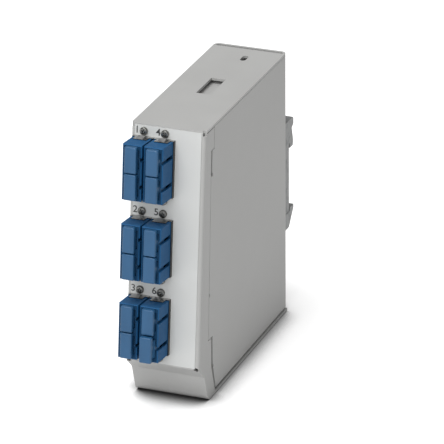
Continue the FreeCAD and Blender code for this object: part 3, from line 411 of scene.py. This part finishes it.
class Paint(Enum):
    """The finishes of this box, named after what wears them."""

    SHEET = Coat("sheet_coat", (0.420, 0.420, 0.412))
    LABEL = Coat("label_face", (0.590, 0.598, 0.588), peel=0.0003, depth=0.000006, roughness=0.46)
    # adapter blue with its front faces at 0.42 of the colour, a painted shade around the caps
    ADAPTER = Moulded("adapter_blue", (0.016, 0.092, 0.222), roughness=0.45, shine=0.1, rim=0.42)
    CAP = Moulded("cap_blue", (0.020, 0.090, 0.198), roughness=0.33, shine=0.42)
    # clip steel: its dark grey stands for shade on the clip's sides, and faces that look up are
    # nine times lighter, a painted highlight
    CLIP = Steel("clip_steel", (0.056, 0.056, 0.056), roughness=0.24, upward=9.0)
    SCREW = Steel("screw_zinc", (0.20, 0.20, 0.19), roughness=0.18, streak=(1.0, 1.0, 1.0))
    SPRING = Steel("spring_wire", (0.50, 0.50, 0.50), roughness=0.3)
    FOOT = Steel(
        "foot_metal",
        (0.29, 0.295, 0.295),
        roughness=0.5,
        streak=(0.04, 1.0, 1.0),
        metallic=0.35,
    )
    SLEEVE = Moulded("sleeve_zirconia", (0.80, 0.79, 0.75), roughness=0.2)
    BRASS = Steel("standoff_brass", (0.62, 0.44, 0.18), roughness=0.3)
    TRAY = Moulded("tray_grey", (0.55, 0.55, 0.53), roughness=0.45)
    LID = Clear("lid_clear", (0.86, 0.89, 0.90))
    COMB = Moulded("comb_black", (0.025, 0.025, 0.027), roughness=0.55)
    DIGIT = Ink("digit_ink", (0.045, 0.045, 0.045))


class Palette:
    """Makes each finish once and dresses objects with it."""

    def __init__(self) -> None:
        """Start with no material made."""
        self.made: Dict[Paint, bpy.types.Material] = {}

    def dress(self, thing: bpy.types.Object, paint: Paint) -> None:
        """Give an object one finish all over.

        Args:
            thing: a mesh object.
            paint: its finish.
        """
        if paint not in self.made:
            self.made[paint] = paint.value.material()
        thing.data.materials.clear()
        thing.data.materials.append(self.made[paint])


# Surfaces


def mesh_object(
    name: str,
    points: np.ndarray,
    faces: Sequence[Sequence[int]],
    smooth: bool,
) -> bpy.types.Object:
    """A mesh object at the origin from points and faces.

    Args:
        name: the object's name.
        points: an array of x, y, z rows in metres.
        faces: rows of point numbers, seen anticlockwise from outside.
        smooth: True to shade it smooth.

    Returns:
        The object, linked to the scene.
    """
    mesh = bpy.data.meshes.new(name)
    mesh.from_pydata(points.tolist(), [], [list(face) for face in faces])
    mesh.polygons.foreach_set("use_smooth", np.full(len(mesh.polygons), smooth))
    mesh.update()
    thing = bpy.data.objects.new(name, mesh)
    bpy.context.scene.collection.objects.link(thing)
    return thing


def rounded_loop(half_wide: float, half_tall: float, radius: float, arc: int) -> np.ndarray:
    """A rectangle with round corners, as rows of u, v.

    Each corner is a quarter circle about a centre that lies the radius in from both sides, so
    equal halves and radius give a circle.

    Args:
        half_wide: half its width.
        half_tall: half its height.
        radius: the corners' radius.
        arc: steps in each quarter.

    Returns:
        Its points, anticlockwise from the right.
    """
    quarter = np.linspace(0.0, math.pi / 2, arc + 1)
    angle = (quarter[None, :] + (np.arange(4) * math.pi / 2)[:, None]).ravel()
    sign_u = np.repeat([1.0, -1.0, -1.0, 1.0], arc + 1)
    sign_v = np.repeat([1.0, 1.0, -1.0, -1.0], arc + 1)
    u = sign_u * (half_wide - radius) + radius * np.cos(angle)
    v = sign_v * (half_tall - radius) + radius * np.sin(angle)
    return np.stack([u, v], axis=1)


def lofted(name: str, loops: Sequence[np.ndarray], depths: Sequence[float]) -> bpy.types.Object:
    """A closed surface through loops at depths along an axis, with a point at both ends.

    The surface is a grid: one parameter goes round each loop, the other from loop to loop.

    Args:
        name: the object's name.
        loops: arrays of u, v rows, all with the same number of points.
        depths: each loop's w.

    Returns:
        The object, with u, v and w along X, Z and -Y.
    """
    count = len(loops[0])
    rings = [
        np.column_stack([loop[:, 0], np.full(count, -w), loop[:, 1]])
        for loop, w in zip(loops, depths)
    ]
    ends = [np.array([[0.0, -depths[0], 0.0]]), np.array([[0.0, -depths[-1], 0.0]])]
    points = np.concatenate(rings + ends)
    ring = np.arange(count)
    following = (ring + 1) % count
    faces: List[Sequence[int]] = []
    for index in range(len(loops) - 1):
        low, high = index * count, (index + 1) * count
        quads = np.stack([low + ring, low + following, high + following, high + ring], axis=1)
        faces += quads[:, ::-1].tolist()
    first, last = len(loops) * count, len(loops) * count + 1
    start = (len(loops) - 1) * count
    front_fan = np.stack([np.full(count, first), following, ring], axis=1)
    back_fan = np.stack([np.full(count, last), start + ring, start + following], axis=1)
    faces += front_fan[:, ::-1].tolist()
    faces += back_fan[:, ::-1].tolist()
    return mesh_object(name, points, faces, True)


@dataclass
class Panel:
    """The leaning front panel: its sizes and the places on it."""

    depth: float = 0.105
    height: float = 0.134
    length: float = 0.114
    lean: float = math.radians(6.0)
    row_pitch: float = 0.0378
    column_pitch: float = 0.0103
    column_left: float = 0.01165
    port_pitch: float = 0.0128
    screw_pitch: float = 0.0318
    adapter_front: float = 0.0143
    rows: int = 3
    columns: int = 2

    def place(self, x: float, down: float, out: float) -> Matrix:
        """Where a point of the panel is, with the panel's lean.

        Args:
            x: across the box.
            down: down the slope from the top edge.
            out: outwards from the panel.

        Returns:
            The matrix that carries local X, -Y (out) and Z (up the slope) there.
        """
        s, c = math.sin(self.lean), math.cos(self.lean)
        spot = Vector((x, -self.depth / 2 - down * s - out * c, self.height - down * c + out * s))
        return Matrix.Translation(spot) @ Matrix.Rotation(-self.lean, 4, "X")

    def adapters(self) -> List[Tuple[int, float, float]]:
        """List the adapters, column by column from the left and downwards.

        Returns:
            Each adapter's number, x and distance down the panel.
        """
        found = []
        for column in range(self.columns):
            for row in range(self.rows):
                x = -self.column_left + column * self.column_pitch
                down = self.length / 2 + (row - 1) * self.row_pitch
                found.append((column * self.rows + row + 1, x, down))
        return found


@dataclass
class SheetBox:
    """The folded chassis, its cover and the bare label with plain numbers."""

    palette: Palette
    panel: Panel = field(default_factory=Panel)
    digit_tall: float = 0.0032
    digit_share: float = 0.7
    digit_left: float = 0.0034
    digit_up: float = 0.0002
    digit_thick: float = 0.00004
    digit_bold: float = 0.00006
    label_thick: float = 0.0003

    def build(self, nodes: Dict[str, bpy.types.Object]) -> None:
        """Dress the sheets and print the numbers.

        Args:
            nodes: the frame's objects by node name.
        """
        for name in ("chassis", "cover", "strain_bar", "tray_bracket"):
            self.palette.dress(nodes[name], Paint.SHEET)
        self.palette.dress(nodes["front_label"], Paint.LABEL)
        for number, x, down in self.panel.adapters():
            self.digit(number, x, down - self.panel.screw_pitch / 2)
        log.info("box: sheets dressed, %d numbers printed", self.panel.rows * self.panel.columns)

    def digit(self, number: int, x: float, down: float) -> None:
        """One plain number beside an adapter's upper screw.

        Args:
            number: what it says.
            x: the screw's place across the box.
            down: the screw's place down the panel.
        """
        curve = bpy.data.curves.new("digit_%d" % number, "FONT")
        curve.body = str(number)
        curve.size = self.digit_tall / self.digit_share
        curve.extrude = self.digit_thick / 2
        curve.offset = self.digit_bold
        curve.align_x = "CENTER"
        curve.align_y = "CENTER"
        text = bpy.data.objects.new("digit_text", curve)
        bpy.context.scene.collection.objects.link(text)
        bpy.context.view_layer.update()
        finished = text.evaluated_get(bpy.context.evaluated_depsgraph_get())
        mesh = bpy.data.meshes.new_from_object(finished)
        bpy.data.objects.remove(text)
        mesh.transform(Matrix.Rotation(math.pi / 2, 4, "X"))
        out = self.label_thick + self.digit_thick / 2
        mesh.transform(self.panel.place(x - self.digit_left, down - self.digit_up, out))
        thing = bpy.data.objects.new("number_%d" % number, mesh)
        bpy.context.scene.collection.objects.link(thing)
        self.palette.dress(thing, Paint.DIGIT)
        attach(thing, "box")


@dataclass
class AdapterBank:
    """Six duplex adapters with their clips, screws, sleeves and dust caps."""

    palette: Palette
    panel: Panel = field(default_factory=Panel)
    head_wide: float = 0.00575
    neck: float = 0.0016
    cap_split: float = 0.00012
    cap_tall: float = 0.01255
    cap_thick: float = 0.0024
    cap_round: float = 0.0007
    cap_corner: float = 0.0006
    cap_crown: float = 0.00006
    seat: float = 0.0001
    plug_wide: float = 0.0066
    plug_tall: float = 0.0086
    plug_long: float = 0.0080
    bore: float = 0.0027
    bore_round: float = 0.0004
    pulled: float = 0.0020
    pulled_cap: Tuple[int, str] = (6, "lower")
    arc: int = 6
    face_shares: Tuple[float, ...] = (0.25, 0.6, 0.9)
    edge_loops: int = 6
    least_corner: float = 0.0002
    corner_loss: float = 0.5
    foot_round: float = 0.0002
    plug_round: float = 0.0005
    plug_lead: float = 0.0003
    bore_end: float = 0.0002

    def build(self, nodes: Dict[str, bpy.types.Object]) -> None:
        """Dress the adapters and put a moulded cap in each port.

        Args:
            nodes: the frame's objects by node name.
        """
        for number, x, down in self.panel.adapters():
            self.palette.dress(nodes["adapter_%d" % number], Paint.ADAPTER)
            self.palette.dress(nodes["adapter_clip_%d" % number], Paint.CLIP)
            for side, up in (("upper", 1.0), ("lower", -1.0)):
                self.cap(number, side, x, down - up * self.panel.port_pitch / 2)
        self.palette.dress(nodes["split_sleeves"], Paint.SLEEVE)
        count = len(self.panel.adapters())
        log.info("adapters: %d dressed, %d caps moulded", count, 2 * count)

    def profile(self) -> Tuple[List[np.ndarray], List[float]]:
        """The cap's loops from its front to the bottom of its bore.

        The head's edge is a quarter circle: at angle a the loop is drawn in by r(1 - cos a) and
        lies r(1 - sin a) behind the face. The face itself rises to a slight crown, and the
        head's ends spread by the split down to its seat. The head is narrower than the port, and
        stays so for the neck's length inside it, so that a groove lies on both sides of it.

        Returns:
            The loops and their depths outwards from the adapter's front.
        """
        wide, tall = self.head_wide / 2, self.cap_tall / 2 - self.cap_split
        plug_wide, plug_tall = self.plug_wide / 2, self.plug_tall / 2
        edge = self.cap_round
        front = self.seat + self.cap_thick
        loops: List[np.ndarray] = []
        depths: List[float] = []

        def add(half_wide: float, half_tall: float, radius: float, out: float) -> None:
            """Add a rounded loop at a depth."""
            loops.append(rounded_loop(half_wide, half_tall, radius, self.arc))
            depths.append(out)

        for share in self.face_shares:
            inner_wide, inner_tall = (wide - edge) * share, (tall - edge) * share
            out = front - self.cap_crown * share ** 2
            add(inner_wide, inner_tall, self.cap_corner * share, out)
        for angle in np.linspace(math.pi / 2, 0.0, self.edge_loops):
            inset = edge * (1 - math.cos(angle))
            out = front - self.cap_crown - edge * (1 - math.sin(angle))
            corner = max(self.least_corner, self.cap_corner - self.corner_loss * inset)
            add(wide - inset, tall - inset, corner, out)
        lead = self.plug_lead
        add(wide, self.cap_tall / 2, self.cap_corner, self.seat + self.foot_round)
        add(wide, self.cap_tall / 2 - self.foot_round, self.cap_corner, self.seat)
        add(wide, plug_tall, self.plug_round, self.seat)
        add(wide, plug_tall, self.plug_round, -self.neck)
        add(plug_wide, plug_tall, self.plug_round, -self.neck)
        add(plug_wide, plug_tall, self.plug_round, lead - self.plug_long)
        add(plug_wide - lead, plug_tall - lead, self.plug_round, -self.plug_long)
        add(self.bore, self.bore, self.bore_round, -self.plug_long)
        add(self.bore, self.bore, self.bore_round, -self.bore_end)
        return loops, depths

    def cap(self, number: int, side: str, x: float, down: float) -> None:
        """One moulded dust cap in place of its plain node.

        Args:
            number: its adapter.
            side: upper or lower port.
            x: the port's place across the box.
            down: the port's place down the panel.
        """
        node = "dust_cap_%d_%s" % (number, side)
        loops, depths = self.profile()
        thing = lofted(node + "_moulded", loops, depths)
        out = self.panel.adapter_front
        if (number, side) == self.pulled_cap:
            out += self.pulled
        thing.data.transform(self.panel.place(x, down, out))
        thing.data.set_sharp_from_angle(angle=SHARP_ANGLE)
        self.palette.dress(thing, Paint.CAP)
        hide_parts(node)
        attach(thing, "cap_%d_%s" % (number, side))


@dataclass
class PanelScrews:
    """The pan head screws of the adapters, with cross recesses and ringed threads."""

    palette: Palette
    panel: Panel = field(default_factory=Panel)
    head: float = 0.0019
    tall: float = 0.0013
    shank: float = 0.00095
    long: float = 0.0039
    pitch: float = 0.0005
    thread: float = 0.00015
    edge: float = 0.00045
    arm: float = 0.00105
    half: float = 0.00024
    sink: float = 0.0008
    seat: float = 0.0003
    around: int = 64
    edge_loops: int = 6
    edge_depth: float = 1.6
    floor_share: float = 0.45
    waist_arm: float = 0.75
    waist_half: float = 0.9
    waist_sink: float = 0.7
    root_at: float = 0.4
    crest_at: float = 0.8
    turn_number: float = 0.7
    turn_side: float = 1.9

    def cross(self, arm: float, half: float) -> np.ndarray:
        """The recess outline, as rows of u, v.

        It is seen from its centre at evenly spaced angles. Turned back to the first eighth of
        the circle at angle t, the outline is arm / cos t on an arm's end, and half / sin t on
        its side, whichever is nearer.

        Args:
            arm: how far an arm reaches.
            half: half an arm's width.

        Returns:
            Its points, anticlockwise from the right.
        """
        angle = np.arange(self.around) * 2 * math.pi / self.around
        folded = np.abs((angle + math.pi / 4) % (math.pi / 2) - math.pi / 4)
        reach = np.minimum(arm / np.cos(folded), half / np.maximum(np.sin(folded), SMALLEST_SINE))
        return np.stack([reach * np.cos(angle), reach * np.sin(angle)], axis=1)

    def ring(self, radius: float) -> np.ndarray:
        """A circle, as rows of u, v."""
        angle = np.arange(self.around) * 2 * math.pi / self.around
        return radius * np.stack([np.cos(angle), np.sin(angle)], axis=1)

    def profile(self) -> Tuple[List[np.ndarray], List[float]]:
        """The screw's loops from the bottom of its recess to the tip of its shank.

        The head's edge is a quarter of an ellipse: at angle a the loop is drawn in by
        e(1 - cos a) and lies the edge's depth times e(1 - sin a) behind the face. The thread is
        a root and a crest to each pitch.

        Returns:
            The loops and their depths outwards from the head's seat.
        """
        loops = [
            self.cross(self.floor_share * self.arm, self.floor_share * self.half),
            self.cross(self.waist_arm * self.arm, self.waist_half * self.half),
            self.cross(self.arm, self.half),
        ]
        depths = [self.tall - self.sink, self.tall - self.waist_sink * self.sink, self.tall]
        for angle in np.linspace(math.pi / 2, 0.0, self.edge_loops):
            loops.append(self.ring(self.head - self.edge * (1 - math.cos(angle))))
            depths.append(self.tall - self.edge * self.edge_depth * (1 - math.sin(angle)))
        loops += [self.ring(self.head), self.ring(self.shank)]
        depths += [0.0, 0.0]
        for turn in range(int(self.long / self.pitch)):
            loops += [self.ring(self.shank - self.thread), self.ring(self.shank)]
            depths += [-(turn + self.root_at) * self.pitch, -(turn + self.crest_at) * self.pitch]
        loops.append(self.ring(self.shank - 2 * self.thread))
        depths.append(-self.long)
        return loops, depths

    def build(self, nodes: Dict[str, bpy.types.Object]) -> None:
        """Put all the screws in, as one piece in place of their plain node.

        Args:
            nodes: the frame's objects by node name, which no screw needs.
        """
        loops, depths = self.profile()
        master = lofted("screw_master", loops, depths)
        points = np.array([vertex.co[:] for vertex in master.data.vertices])
        faces = [tuple(polygon.vertices) for polygon in master.data.polygons]
        bpy.data.objects.remove(master)
        spread: List[np.ndarray] = []
        shifted: List[Sequence[int]] = []
        for number, x, down in self.panel.adapters():
            for side in (-1.0, 1.0):
                angle = self.turn_number * number + self.turn_side * side
                at = down + side * self.panel.screw_pitch / 2
                where = self.panel.place(x, at, self.seat) @ Matrix.Rotation(angle, 4, "Y")
                carried = np.array(where)
                start = len(points) * len(spread)
                spread.append(points @ carried[:3, :3].T + carried[:3, 3])
                shifted += [[start + corner for corner in face] for face in faces]
        thing = mesh_object("adapter_screws_turned", np.concatenate(spread), shifted, True)
        thing.data.set_sharp_from_angle(angle=SHARP_ANGLE)
        self.palette.dress(thing, Paint.SCREW)
        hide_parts("adapter_screws")
        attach(thing, "box")
        log.info("adapter screws: %d turned", len(spread))


@dataclass
class RailFoot:
    """The foot for the rail with its sprung latch."""

    palette: Palette

    def build(self, nodes: Dict[str, bpy.types.Object]) -> None:
        """Dress the foot, latch, spring and screws.

        Args:
            nodes: the frame's objects by node name.
        """
        for name in ("rail_foot", "rail_latch"):
            self.palette.dress(nodes[name], Paint.FOOT)
        self.palette.dress(nodes["latch_spring"], Paint.SPRING)
        for name in ("foot_screws", "base_screws"):
            self.palette.dress(nodes[name], Paint.SCREW)
        log.info("rail foot dressed")


@dataclass
class SpliceTray:
    """The tray inside the box and what holds it."""

    palette: Palette

    def build(self, nodes: Dict[str, bpy.types.Object]) -> None:
        """Dress the tray's pieces.

        Args:
            nodes: the frame's objects by node name.
        """
        wears = {
            "splice_tray": Paint.TRAY,
            "tray_lid": Paint.LID,
            "splice_comb": Paint.COMB,
            "tray_standoffs": Paint.BRASS,
            "tray_screws": Paint.SCREW,
        }
        for name, paint in wears.items():
            self.palette.dress(nodes[name], paint)
        log.info("splice tray dressed")


@dataclass(frozen=True)
class Lamp:
    """A square soft lamp: its name, place in metres, side in metres and power in watts."""

    name: str
    spot: Point
    size: float
    power: float


@dataclass
class Studio:
    """Floor, lamps, surroundings and the camera that took the photograph."""

    azimuth: float = math.radians(21.52)
    elevation: float = math.radians(23.94)
    roll: float = math.radians(-0.46)
    distance: float = 1.880
    focal_px: float = 4034.7
    frame_px: float = 444.0
    target: Point = (0.0, -0.0075, 0.065)
    target_px: Tuple[float, float] = (206.3, 229.2)
    surround: float = 0.4
    floor_half: float = 6.0
    floor_drop: float = 0.0003
    floor_rough: float = 0.9
    contact: float = 0.0145
    contact_samples: int = 16
    contact_range: Range = (0.30, 0.97)
    shadow: Colour = (0.04, 0.04, 0.04)
    paper: Colour = (0.82, 0.82, 0.82)
    black: Colour = (0.0, 0.0, 0.0)
    white: Colour = (1.0, 1.0, 1.0)
    glow: float = 0.46
    sensor_mm: float = 36.0
    clip: Range = (0.05, 50.0)
    lamps: Tuple[Lamp, ...] = (
        Lamp("key", (0.18, -2.3, 1.2), 1.6, 28.0),
        Lamp("top", (-0.4, -0.5, 2.1), 1.2, 28.0),
    )

    def build(self) -> None:
        """Make the studio."""
        self.floor()
        self.world()
        for lamp in self.lamps:
            self.light(lamp)
        self.camera()
        log.info("studio ready")

    def floor(self) -> None:
        """A white floor that the camera sees as paper white, with a short dark contact shadow.

        The shadow's depth is how much of the floor's sky within the contact distance is covered.
        """
        around = self.floor_half * np.array([[-1.0, -1.0], [1.0, -1.0], [1.0, 1.0], [-1.0, 1.0]])
        ground = np.column_stack([around, np.full(4, -self.floor_drop)])
        thing = mesh_object("floor", ground, [(0, 1, 2, 3)], False)
        graph = Graph("floor_paper")
        open_sky = graph.add(
            "ShaderNodeAmbientOcclusion",
            {"samples": self.contact_samples},
            Distance=self.contact,
            output="AO",
        )
        bare = open_sky.between(*self.contact_range)
        graph.set("Base Color", graph.tint(self.shadow, self.paper, bare))
        graph.set("Roughness", self.floor_rough)
        graph.set("Emission Color", graph.tint(self.black, self.white, bare))
        rays = graph.tree.nodes.new("ShaderNodeLightPath")
        straight = Value(graph, rays.outputs["Is Camera Ray"])
        mirrored = Value(graph, rays.outputs["Is Glossy Ray"])
        graph.set("Emission Strength", self.glow * (straight + mirrored))
        thing.data.materials.append(graph.material)

    def world(self) -> None:
        """Even surroundings: plain light on the object, white to the camera."""
        world = bpy.data.worlds.new("surround")
        world.use_nodes = True
        bpy.context.scene.world = world
        tree = world.node_tree
        back = tree.nodes["Background"]
        rays = tree.nodes.new("ShaderNodeLightPath")
        mix = tree.nodes.new("ShaderNodeMix")
        mix.data_type = "FLOAT"
        tree.links.new(rays.outputs["Is Camera Ray"], mix.inputs[NUMBER_MASK])
        mix.inputs[NUMBER_A].default_value = self.surround
        mix.inputs[NUMBER_B].default_value = 1.0
        back.inputs["Color"].default_value = (*self.white, 1.0)
        tree.links.new(mix.outputs[NUMBER_OUT], back.inputs["Strength"])

    def light(self, lamp: Lamp) -> None:
        """Set up a lamp that looks at the box.

        Args:
            lamp: the lamp.
        """
        data = bpy.data.lights.new(lamp.name, "AREA")
        data.size = lamp.size
        data.energy = lamp.power
        thing = bpy.data.objects.new(lamp.name, data)
        bpy.context.scene.collection.objects.link(thing)
        thing.location = lamp.spot
        thing.rotation_mode = "QUATERNION"
        aim = Vector(self.target) - Vector(lamp.spot)
        thing.rotation_quaternion = aim.to_track_quat("-Z", "Y")

    def camera(self) -> None:
        """The camera at the photograph's angle, aimed so that the box lands on its pixels."""
        data = bpy.data.cameras.new("photo_camera")
        data.sensor_width = self.sensor_mm
        data.lens = self.sensor_mm * self.focal_px / self.frame_px
        data.clip_start, data.clip_end = self.clip
        thing = bpy.data.objects.new("photo_camera", data)
        bpy.context.scene.collection.objects.link(thing)
        a, e = self.azimuth, self.elevation
        back = Vector((math.sin(a) * math.cos(e), -math.cos(a) * math.cos(e), math.sin(e)))
        spot = Vector(self.target) + back * self.distance
        right = Vector((math.cos(a), math.sin(a), 0.0))
        up = right.cross(-back)
        c, s = math.cos(self.roll), math.sin(self.roll)
        px = self.frame_px / 2 - self.target_px[0]
        py = self.frame_px / 2 - self.target_px[1]
        u, v = c * px + s * py, -s * px + c * py
        look = -back + (right * u - up * v) / self.focal_px
        thing.location = spot
        thing.rotation_mode = "QUATERNION"
        turn = Quaternion((0.0, 0.0, 1.0), self.roll)
        thing.rotation_quaternion = look.to_track_quat("-Z", "Y") @ turn
        bpy.context.scene.camera = thing


def main() -> None:
    """Load the frame, dress it and set the studio."""
    logging.basicConfig(level=logging.INFO, format="%(name)s: %(message)s")
    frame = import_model()
    bpy.context.scene.view_settings.view_transform = "Standard"
    palette = Palette()
    nodes = frame["nodes"]
    for kind in (SheetBox, AdapterBank, PanelScrews, RailFoot, SpliceTray):
        kind(palette).build(nodes)
    Studio().build()


if __name__ == "__main__":
    main()
